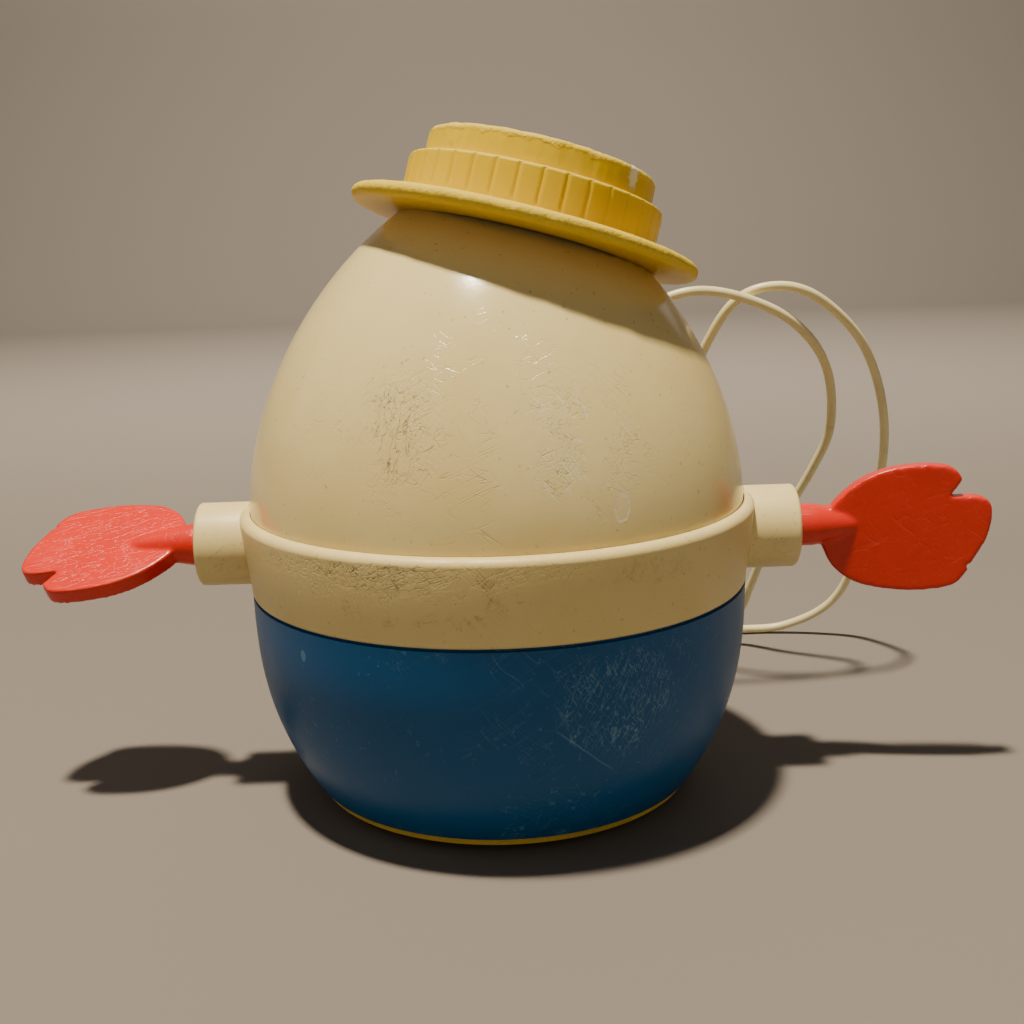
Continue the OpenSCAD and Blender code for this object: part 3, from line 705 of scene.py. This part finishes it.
class EGGFIGURE_OT_cord(bpy.types.Operator):
    """Add the pull cord, its bead, its bushing and its knots"""

    bl_idname = "eggfigure.cord"
    bl_label = "Cord and bead"

    def execute(self, context):
        sizes = context.scene.egg_figure_cord
        line = smooth_line([Vector(point) for point in CORD_ROUTE], 10)
        length = sum((b - a).length for a, b in zip(line, line[1:]))
        cord = new_curve("pull_cord", line, sizes.diameter / 2)
        add_piece(cord, "cord", TOY, ["cord"])

        bead_low, bead_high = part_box("pull_bead")
        centre = (bead_low + bead_high) / 2
        knot_low, knot_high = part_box("bead_knot")
        knot_centre = (knot_low + knot_high) / 2
        bore = sizes.diameter * 0.62
        gap = math.degrees(math.asin(bore / sizes.bead_radius))
        profile = arc(0, 0, sizes.bead_radius, gap - 90, 90 - gap, 36)
        bead = new_object("bead", moved(spun(profile, 72), facing(knot_centre - centre, centre)))
        add_piece(bead, "cream", TOY, ["pull_bead"])
        for name, node, place in (("bead_end_knot", "bead_knot", knot_centre),
                                  ("inner_knot", "cord_knot", node_centre("cord_knot"))):
            loop = [Vector(trefoil(TURN * i / 72)) * 0.00042 + place for i in range(73)]
            knot = new_curve(name, loop, 0.0008)
            add_piece(knot, "cord", TOY, [node])

        ring = [(0.0016, -0.004), (0.003, -0.004), (0.003, 0.0001)]
        ring += [(0.0044, 0.0001)] + arc(0.0038, 0.0009, 0.0006, 0, 90, 4) + [(0.0016, 0.0015)]
        place = cord_hole_frame(context.scene.egg_figure_body)
        bushing = new_object("bushing", moved(spun(ring, 72), place))
        add_piece(bushing, "base", TOY, ["cord_bushing"])
        return {"FINISHED"}


def smooth_line(points, steps):
    """Smooth line through all the points, with steps pieces between each two."""
    ends = [points[0]] + points + [points[-1]]
    line = []
    for a, b, c, d in zip(ends, ends[1:], ends[2:], ends[3:]):
        for k in range(steps):
            u = k / steps
            line.append(0.5 * (2 * b + (c - a) * u + (2 * a - 5 * b + 4 * c - d) * u ** 2
                               + (3 * b - a - 3 * c + d) * u ** 3))
    return line + [points[-1]]


def trefoil(angle):
    """Point of a trefoil knot about 6 units across."""
    return (math.sin(angle) + 2 * math.sin(2 * angle), math.cos(angle) - 2 * math.cos(2 * angle),
            -1.3 * math.sin(3 * angle))


def node_centre(node):
    """Middle of a CAD node's box."""
    low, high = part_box(node)
    return (low + high) / 2


def new_curve(name, line, radius):
    """Round tube along a line, as a curve of one open spline."""
    curve = bpy.data.curves.new(name, "CURVE")
    curve.dimensions = "3D"
    curve.bevel_depth = radius
    curve.bevel_resolution = 3
    curve.use_fill_caps = True
    spline = curve.splines.new("POLY")
    spline.points.add(len(line) - 1)
    for point, place in zip(spline.points, line):
        point.co = (*place, 1.0)
    spline.use_smooth = True
    piece = bpy.data.objects.new(name, curve)
    bpy.context.scene.collection.objects.link(piece)
    return piece


class EGGFIGURE_OT_dome(bpy.types.Operator):
    """Add the egg-shaped dome, cut off under the hat"""

    bl_idname = "eggfigure.dome"
    bl_label = "Egg dome"

    def execute(self, context):
        body = context.scene.egg_figure_body
        hat = context.scene.egg_figure_hat
        steps = 60
        parts = [math.sin(math.radians(86) * i / steps) for i in range(steps + 1)]
        profile = [(body.egg_radius, body.belt_top - 0.003)]
        profile += [(egg_radius(body, t), body.belt_top + body.egg_height * t) for t in parts]
        shape = spun(profile, 192, closed=False)
        place = hat_frame(hat)
        normal = place.to_3x3() @ Vector((0, 0, 1))
        level = place @ Vector((0, 0, -hat.brim_thickness))
        everything = list(shape.verts) + list(shape.edges) + list(shape.faces)
        made = bmesh.ops.bisect_plane(shape, geom=everything, plane_co=level, plane_no=normal,
                                      clear_outer=True)
        rim = [edge for edge in made["geom_cut"] if isinstance(edge, bmesh.types.BMEdge)]
        bmesh.ops.edgeloop_fill(shape, edges=rim)
        bmesh.ops.recalc_face_normals(shape, faces=shape.faces)
        dome = new_object("dome", shape, 40)
        shell = dome.modifiers.new("wall", "SOLIDIFY")
        shell.thickness = body.wall
        shell.offset = -1
        applied(dome, 40)
        add_piece(dome, "dome", TOY, ["dome_shell"])
        return {"FINISHED"}


class EGGFIGURE_OT_belt(bpy.types.Operator):
    """Add the belt ring and the two arm sleeves"""

    bl_idname = "eggfigure.belt"
    bl_label = "Belt and sleeves"

    def execute(self, context):
        body = context.scene.egg_figure_body
        inner = 0.0532
        edge = 0.0017
        ledge = 0.05565
        profile = [(inner, body.belt_low)]
        profile += arc(body.belt_low_radius - 0.0006, body.belt_low + 0.0006, 0.0006, -90, 0, 4)
        profile += arc(body.belt_radius - edge, body.belt_top - edge, edge, 0, 90, 10)
        profile += [(ledge, body.belt_top), (ledge, body.belt_top - 0.003),
                    (0.052, body.belt_top - 0.003), (0.052, 0.0515), (inner, 0.0515)]
        belt = new_object("belt", spun(profile, 224))
        bores = [new_object("bore", moved(rod(body.bore_radius, 0.02), along_x(side, 0.049, 0, ARM_Z)))
                 for side in SIDES.values()]
        cut(belt, bores)
        add_piece(belt, "belt", TOY, ["belt_ring"])
        for name, side in SIDES.items():
            start = 0.0563
            length = body.sleeve_end - start
            round_edge = 0.0009
            ring = [(body.bore_radius, 0), (body.sleeve_radius, 0)]
            ring += arc(body.sleeve_radius - round_edge, length - round_edge, round_edge, 0, 90, 6)
            ring += arc(body.bore_radius + 0.0004, length - 0.0004, 0.0004, 90, 180, 4)
            sleeve = new_object("sleeve_" + name, moved(spun(ring, 96), along_x(side, start, 0, ARM_Z)))
            add_piece(sleeve, "cream", TOY)
        return {"FINISHED"}


class EGGFIGURE_OT_bowl(bpy.types.Operator):
    """Add the bowl with its flange round the wheels"""

    bl_idname = "eggfigure.bowl"
    bl_label = "Bowl"

    def execute(self, context):
        body = context.scene.egg_figure_body
        steps = 40
        low, lip = body.bowl_low, body.belt_low - 0.0006
        flange_top = low + 0.002
        outside = []
        for i in range(steps + 1):
            height = low + (lip - low) * (1 - math.cos(math.radians(90 * i / steps)))
            outside.append((bowl_radius(body, height), height))
        top_radius = body.belt_low_radius - 0.0001
        inside = [(radius - body.wall, height) for radius, height in reversed(outside) if height > flange_top]
        flange_inner = 0.031
        profile = [(flange_inner, low)] + outside
        profile += [(top_radius - 0.0007, lip + 0.0001), (top_radius - 0.0007, body.belt_low),
                    (top_radius - body.wall, body.belt_low)]
        profile += inside + [(flange_inner, flange_top)]
        bowl = new_object("bowl", spun(profile, 224))
        wells = []
        for name, width, front, back in (("wheel_well", 0.055, -0.0275, 0.0015),
                                         ("roller_well", 0.026, 0, 0.036)):
            well = bmesh.new()
            bmesh.ops.create_cube(well, size=1.0)
            bmesh.ops.scale(well, vec=(width, back - front, 0.004), verts=well.verts)
            bmesh.ops.translate(well, vec=(0, (front + back) / 2, low + 0.001), verts=well.verts)
            wells.append(new_object(name, well))
        place = cord_hole_frame(body) @ Matrix.Translation((0, 0, -0.006))
        cord_hole = new_object("cord_hole", moved(rod(0.00305, 0.009), place))
        cut(bowl, wells + [cord_hole])
        add_piece(bowl, "bowl", TOY, ["bowl_shell"])
        return {"FINISHED"}


class EGGFIGURE_OT_hat(bpy.types.Operator):
    """Add the leaning hat with its grooved band"""

    bl_idname = "eggfigure.hat"
    bl_label = "Hat"

    def execute(self, context):
        hat = context.scene.egg_figure_hat
        wall = context.scene.egg_figure_body.wall
        rim = hat.brim_thickness / 2
        shoulder, top_edge = 0.0010, 0.0014
        straight_low, straight_high = 0.0008, hat.band_height - shoulder
        band = [(hat.band_radius, straight_low + (straight_high - straight_low) * i / 8) for i in range(9)]
        profile = [(0.026, -hat.brim_thickness)]
        profile += arc(hat.brim_radius - rim, -rim, rim, -90, 90, 12)
        profile += [(hat.band_radius + 0.002, 0), (hat.band_radius + 0.0006, 0.0002)] + band
        profile += arc(hat.band_radius - shoulder, straight_high, shoulder, 10, 90, 7)
        profile += [(hat.crown_radius + 0.0002, hat.band_height)]
        profile += arc(hat.crown_radius - top_edge, hat.crown_height - top_edge, top_edge, 0, 90, 6)
        profile += [(0, hat.crown_height)]
        under = [(0, hat.crown_height - wall), (hat.crown_radius - wall, hat.crown_height - wall),
                 (hat.crown_radius - wall, hat.band_height - wall), (0.026, hat.band_height - wall)]
        columns = 10
        shape = spun(profile + under, hat.grooves * columns)
        self.cut_grooves(shape, hat, columns, straight_low, hat.band_height - 0.0004)
        self.wear_edges(shape, hat)
        hat_piece = new_object("hat_shell", moved(shape, hat_frame(hat)), 38)
        add_piece(hat_piece, "hat", TOY, ["hat"])
        return {"FINISHED"}

    def cut_grooves(self, shape, hat, columns, low, high):
        """Presses one column in each panel inward."""
        for vert in shape.verts:
            radius = math.hypot(vert.co.x, vert.co.y)
            if not (low + 1e-6 < vert.co.z < high and radius > hat.crown_radius + 0.0012):
                continue
            if round(math.atan2(vert.co.y, vert.co.x) / TURN * hat.grooves * columns) % columns == 0:
                vert.co.xy *= (radius - hat.groove_depth) / radius

    def wear_edges(self, shape, hat):
        """Makes the brim's rim and the crown's top edge slightly uneven."""
        for vert in shape.verts:
            radius = math.hypot(vert.co.x, vert.co.y)
            on_rim = radius > hat.brim_radius - hat.brim_thickness / 2
            on_top = vert.co.z > hat.crown_height - 0.0016 and radius > hat.crown_radius - 0.0016
            if on_rim or on_top:
                push = noise.noise(vert.co * 260) * 0.00022 + noise.noise(vert.co * 900) * 0.0001
                vert.co += vert.co.normalized() * push


class EGGFIGURE_OT_hands(bpy.types.Operator):
    """Add the two paddle hands on their wrists"""

    bl_idname = "eggfigure.hands"
    bl_label = "Hands"

    # From the palm's heel: round the thumb to the cut under it, along the finger tips to a nick, and back
    THUMB = [(0, 0), (2.5, 4.7), (7.9, 9.8), (14.6, 12.8), (22.5, 13.8), (28.6, 13.1), (31.1, 10.4)]
    FINGERS = [(28.3, 6.3), (33.4, 6.5), (36.9, 5.4), (37.8, 2), (36.7, -3.5), (33.6, -9.2)]
    HEEL = [(33.1, -10.6), (30, -14.1), (23.5, -15.4), (15.5, -15.2), (7.7, -13.4), (2.6, -9.5), (0.2, -4.6)]

    def execute(self, context):
        sizes = context.scene.egg_figure_hand
        for name, side in SIDES.items():
            heel = sizes.heel_x - (sizes.left_in if side < 0 else 0)
            shape = self.palm(sizes)
            self.add_wrist(shape, sizes, hand_lowest.x - heel)
            place = Matrix.Translation((0, 0, ARM_Z))
            if side < 0:
                place = place @ Matrix.Rotation(sizes.left_turn, 4, "X") @ Matrix.Scale(-1, 4, (1, 0, 0))
            place = place @ Matrix.Translation((heel, 0, 0))
            hand = new_object("hand_shape_" + name, moved(shape, place))
            skin = hand.modifiers.new("skin", "REMESH")
            skin.mode = "VOXEL"
            skin.voxel_size = 0.00036
            soft = hand.modifiers.new("soft", "SMOOTH")
            soft.factor = 0.5
            soft.iterations = 12
            applied(hand, 60)
            add_piece(hand, "red", ARMS, ["hand_" + name])
        return {"FINISHED"}

    def palm(self, sizes):
        """Flat palm that leans out of the arm's line."""
        stretches = [smooth_line([Vector((x, 0, z)) * MM for x, z in points], 5)
                     for points in (self.THUMB, self.FINGERS, [(32.4, -9.5), (32.4, -9.5)], self.HEEL)]
        outline = [point for stretch in stretches for point in stretch]
        shape = bmesh.new()
        face = shape.faces.new([shape.verts.new(point) for point in outline])
        grown = bmesh.ops.extrude_face_region(shape, geom=[face])
        far = [item for item in grown["geom"] if isinstance(item, bmesh.types.BMVert)]
        bmesh.ops.translate(shape, vec=(0, sizes.thickness, 0), verts=far)
        bmesh.ops.remove_doubles(shape, verts=shape.verts, dist=1e-6)
        bmesh.ops.recalc_face_normals(shape, faces=shape.faces)
        lean = Matrix.Rotation(-sizes.lean, 4, "Z") @ Matrix.Translation((0, -sizes.thickness / 2, 0))
        return moved(shape, lean)

    def add_wrist(self, shape, sizes, inner_end):
        """Round wrist that tapers into a ridge on the palm."""
        start, tip = -0.002, 0.012
        profile = [(0, inner_end), (sizes.wrist_radius, inner_end), (sizes.wrist_radius, start)]
        for i in range(1, 9):
            part = i / 8
            radius = sizes.wrist_radius * (1 - part) ** 0.75 + 0.0014 * part
            profile.append((radius, start + (tip - start) * part))
        profile.append((0, tip))
        wrist = spun(profile, 48, closed=False)
        moved(wrist, Matrix.Rotation(math.pi / 2, 4, "Y"))
        mesh = bpy.data.meshes.new("wrist")
        wrist.to_mesh(mesh)
        wrist.free()
        shape.from_mesh(mesh)
        bpy.data.meshes.remove(mesh)


class EGGFIGURE_OT_face(bpy.types.Operator):
    """Add the plain eyes and nose on the front"""

    bl_idname = "eggfigure.face"
    bl_label = "Eyes and nose"

    def execute(self, context):
        body = context.scene.egg_figure_body
        for name, x in (("eye_left", -0.014), ("eye_right", 0.014)):
            profile = [(0, 0.0001), (0.0036, 0.0001)] + arc(0.0028, 0.0003, 0.0008, 0, 70, 5)
            profile += [(0.0015, 0.00125), (0, 0.00135)]
            eye = new_object(name + "_button", moved(spun(profile, 64, False), self.on_egg(body, x, 0.098)))
            add_piece(eye, "black", TOY, [name])
        profile = [(0, 0.00015), (0.0052, 0.00015)] + arc(0, 0.00015, 0.0055, 6, 90, 14)
        nose = new_object("nose_button", moved(spun(profile, 72, False), self.on_egg(body, 0, 0.086)))
        add_piece(nose, "red", TOY, ["nose"])
        return {"FINISHED"}

    def on_egg(self, body, x, z):
        """Matrix of a place on the egg's front, +Z outward."""
        part = (z - body.belt_top) / body.egg_height
        radius = egg_radius(body, part)
        step = 0.0005 / body.egg_height
        fall = egg_radius(body, part - step) - egg_radius(body, part + step)
        turn = math.asin(x / radius)
        outward = Vector((math.sin(turn), math.cos(turn), fall / 0.001)).normalized()
        place = Vector((math.sin(turn) * radius, math.cos(turn) * radius, z))
        return facing(outward, place)


class EGGFIGURE_OT_wheels(bpy.types.Operator):
    """Add the two wheels and the front roller, with ribbed treads"""

    bl_idname = "eggfigure.wheels"
    bl_label = "Wheels and roller"

    def execute(self, context):
        bore = 0.0015
        rim, hub, web = 0.0105, 0.0045, 0.0012
        for name in SIDES:
            low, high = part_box("wheel_" + name)
            half = (high.x - low.x) / 2
            tread = [(WHEEL_R - 0.0006, -half), (WHEEL_R - 0.0001, 0.0005 - half)]
            for i in range(5):
                rib = -half + 0.0011 + i * (2 * half - 0.0022) / 4
                tread += [(WHEEL_R, rib - 0.0005), (WHEEL_R, rib + 0.0004)]
                if i < 4:
                    tread += [(WHEEL_R - 0.0004, rib + 0.0007), (WHEEL_R - 0.0004, rib + 0.0008)]
            tread += [(WHEEL_R - 0.0001, half - 0.0005), (WHEEL_R - 0.0006, half)]
            profile = [(bore, -half), (hub, -half), (hub, -web), (rim, -web), (rim, -half)] + tread
            profile += [(rim, half), (rim, web), (hub, web), (hub, half), (bore, half)]
            middle = (low.x + high.x) / 2
            place = along_x(1, middle, AXLE_Y, WHEEL_R)
            wheel = new_object("wheel_disc_" + name, moved(spun(profile, 144), place))
            add_piece(wheel, "wheel", WHEELS, ["wheel_" + name])
        half = (roller_highest.x - roller_lowest.x) / 2
        edge = 0.0006
        roller_bore = 0.00156
        groove_floor = ROLLER_R - 0.0004
        profile = [(roller_bore, -half), (ROLLER_R - edge, -half)]
        profile += arc(ROLLER_R - edge, edge - half, edge, -90, 0, 4)
        profile += [(ROLLER_R, -0.001), (groove_floor, -0.0006), (groove_floor, 0.0006), (ROLLER_R, 0.001)]
        profile += arc(ROLLER_R - edge, half - edge, edge, 0, 90, 4) + [(roller_bore, half)]
        roller = new_object("roller_drum", moved(spun(profile, 96), along_x(1, 0, ROLLER_Y, ROLLER_R)))
        add_piece(roller, "wheel", "roller", ["front_roller"])
        return {"FINISHED"}


class EGGFIGURE_OT_works(bpy.types.Operator):
    """Finish the base plate and the gear train, shafts, plates and screws inside"""

    bl_idname = "eggfigure.works"
    bl_label = "Base and works"

    FINISH_OF_SLOT = {
        "cream_plastic": "cream",
        "yellow_plastic": "base",
        "steel": "steel",
        "white_gear_plastic": "gear",
        "frame_plastic": "frame",
    }

    def execute(self, context):
        slots = {part["node"]: part["material_slot"] for part in frame["record"]["subparts"]}
        for node, part in frame["nodes"].items():
            finish = self.FINISH_OF_SLOT.get(slots[node])
            if finish is None:
                continue
            for slot in part.material_slots:
                slot.material = Finishes.get(finish)
        return {"FINISHED"}


class EGGFIGURE_OT_stage(bpy.types.Operator):
    """Add the camera, the pale floor and the soft lights"""

    bl_idname = "eggfigure.stage"
    bl_label = "Stage"

    def execute(self, context):
        lens = bpy.data.cameras.new("camera")
        lens.lens = 45
        lens.sensor_width = 36
        lens.shift_x = 0.0147
        lens.clip_start = 0.01
        camera = bpy.data.objects.new("camera", lens)
        roll = Matrix.Rotation(math.radians(-1.88), 4, "Z")
        look = Matrix.Rotation(math.radians(90 - 12.4), 4, "X")
        camera.matrix_world = Matrix.Translation((0, -0.287, 0.1266)) @ look @ roll
        context.scene.collection.objects.link(camera)
        context.scene.camera = camera
        self.add_floor()
        toy, backdrop = Vector((0, 0, 0.07)), Vector((0, 2.1, 0.45))
        self.add_light("key", (-0.187, -0.19, 1.8), toy, 0.11, 66.0, (1.0, 0.89, 0.73))
        self.add_light("fill_camera", (0.5, -1.3, 0.7), toy, 1.3, 1.5, (1.0, 0.93, 0.84))
        self.add_light("fill_left", (-1.2, 0.1, 0.8), toy, 1.2, 1.4, (1.0, 0.97, 0.93))
        self.add_light("back", (0.5, 1.2, 1.0), toy, 1.2, 2.0, (1.0, 0.95, 0.88))
        self.add_light("backdrop", (0, 0.7, 1.1), backdrop, 1.2, 28.0, (1.0, 0.92, 0.82))
        world = bpy.data.worlds.new("studio")
        world.use_nodes = True
        background = world.node_tree.nodes["Background"]
        background.inputs["Color"].default_value = (0.86, 0.84, 0.80, 1.0)
        background.inputs["Strength"].default_value = 0.12
        context.scene.world = world
        return {"FINISHED"}

    def add_floor(self):
        """Floor that curves up into a backdrop far behind the toy."""
        shape = bmesh.new()
        bend = 0.5
        reach = 1.6
        profile = [(-3.0, 0.0)] + [(reach + bend * math.sin(a), bend - bend * math.cos(a))
                                  for a in (math.radians(90 * i / 16) for i in range(17))]
        profile.append((reach + bend, 3.0))
        verts = [shape.verts.new((-4.0, y, z)) for y, z in profile]
        edges = [shape.edges.new(pair) for pair in zip(verts, verts[1:])]
        grown = bmesh.ops.extrude_edge_only(shape, edges=edges)
        far = [item for item in grown["geom"] if isinstance(item, bmesh.types.BMVert)]
        bmesh.ops.translate(shape, vec=(8.0, 0, 0), verts=far)
        bmesh.ops.recalc_face_normals(shape, faces=shape.faces)
        floor = new_object("floor", shape)
        floor.data.materials.append(Finishes.get("floor"))

    def add_light(self, name, place, target, size, power, colour):
        """Square soft light that faces its target."""
        lamp = bpy.data.lights.new(name, "AREA")
        lamp.size = size
        lamp.energy = power
        lamp.color = colour
        light = bpy.data.objects.new(name, lamp)
        aim = Vector(place) - target
        light.matrix_world = Matrix.Translation(place) @ aim.to_track_quat("Z", "Y").to_matrix().to_4x4()
        bpy.context.scene.collection.objects.link(light)


class EGGFIGURE_PT_panel(bpy.types.Panel):
    """Sidebar panel that lists the toy's sizes, colours and parts"""

    bl_idname = "EGGFIGURE_PT_panel"
    bl_label = "Egg figure"
    bl_space_type = "VIEW_3D"
    bl_region_type = "UI"
    bl_category = "Egg figure"

    def draw(self, context):
        for operator in OPERATORS:
            self.layout.operator(operator.bl_idname)
        for name, group in SETTINGS.items():
            box = self.layout.box()
            for key in group.__annotations__:
                box.prop(getattr(context.scene, name), key)


SETTINGS = {
    "egg_figure_body": EggFigureBody,
    "egg_figure_hat": EggFigureHat,
    "egg_figure_hand": EggFigureHand,
    "egg_figure_cord": EggFigureCord,
    "egg_figure_colours": EggFigureColours,
}
OPERATORS = [
    EGGFIGURE_OT_stage, EGGFIGURE_OT_cord, EGGFIGURE_OT_dome, EGGFIGURE_OT_belt, EGGFIGURE_OT_bowl,
    EGGFIGURE_OT_hat, EGGFIGURE_OT_hands, EGGFIGURE_OT_face, EGGFIGURE_OT_wheels, EGGFIGURE_OT_works,
]


def register():
    for group in SETTINGS.values():
        bpy.utils.register_class(group)
    for name, group in SETTINGS.items():
        setattr(bpy.types.Scene, name, PointerProperty(type=group))
    for operator in OPERATORS:
        bpy.utils.register_class(operator)
    bpy.utils.register_class(EGGFIGURE_PT_panel)


def unregister():
    bpy.utils.unregister_class(EGGFIGURE_PT_panel)
    for operator in reversed(OPERATORS):
        bpy.utils.unregister_class(operator)
    for name, group in SETTINGS.items():
        delattr(bpy.types.Scene, name)
        bpy.utils.unregister_class(group)


def main():
    register()
    bpy.ops.eggfigure.stage()
    bpy.ops.eggfigure.cord()
    bpy.ops.eggfigure.dome()
    bpy.ops.eggfigure.belt()
    bpy.ops.eggfigure.bowl()
    bpy.ops.eggfigure.hat()
    bpy.ops.eggfigure.hands()
    bpy.ops.eggfigure.face()
    bpy.ops.eggfigure.wheels()
    bpy.ops.eggfigure.works()


if __name__ == "__main__":
    main()
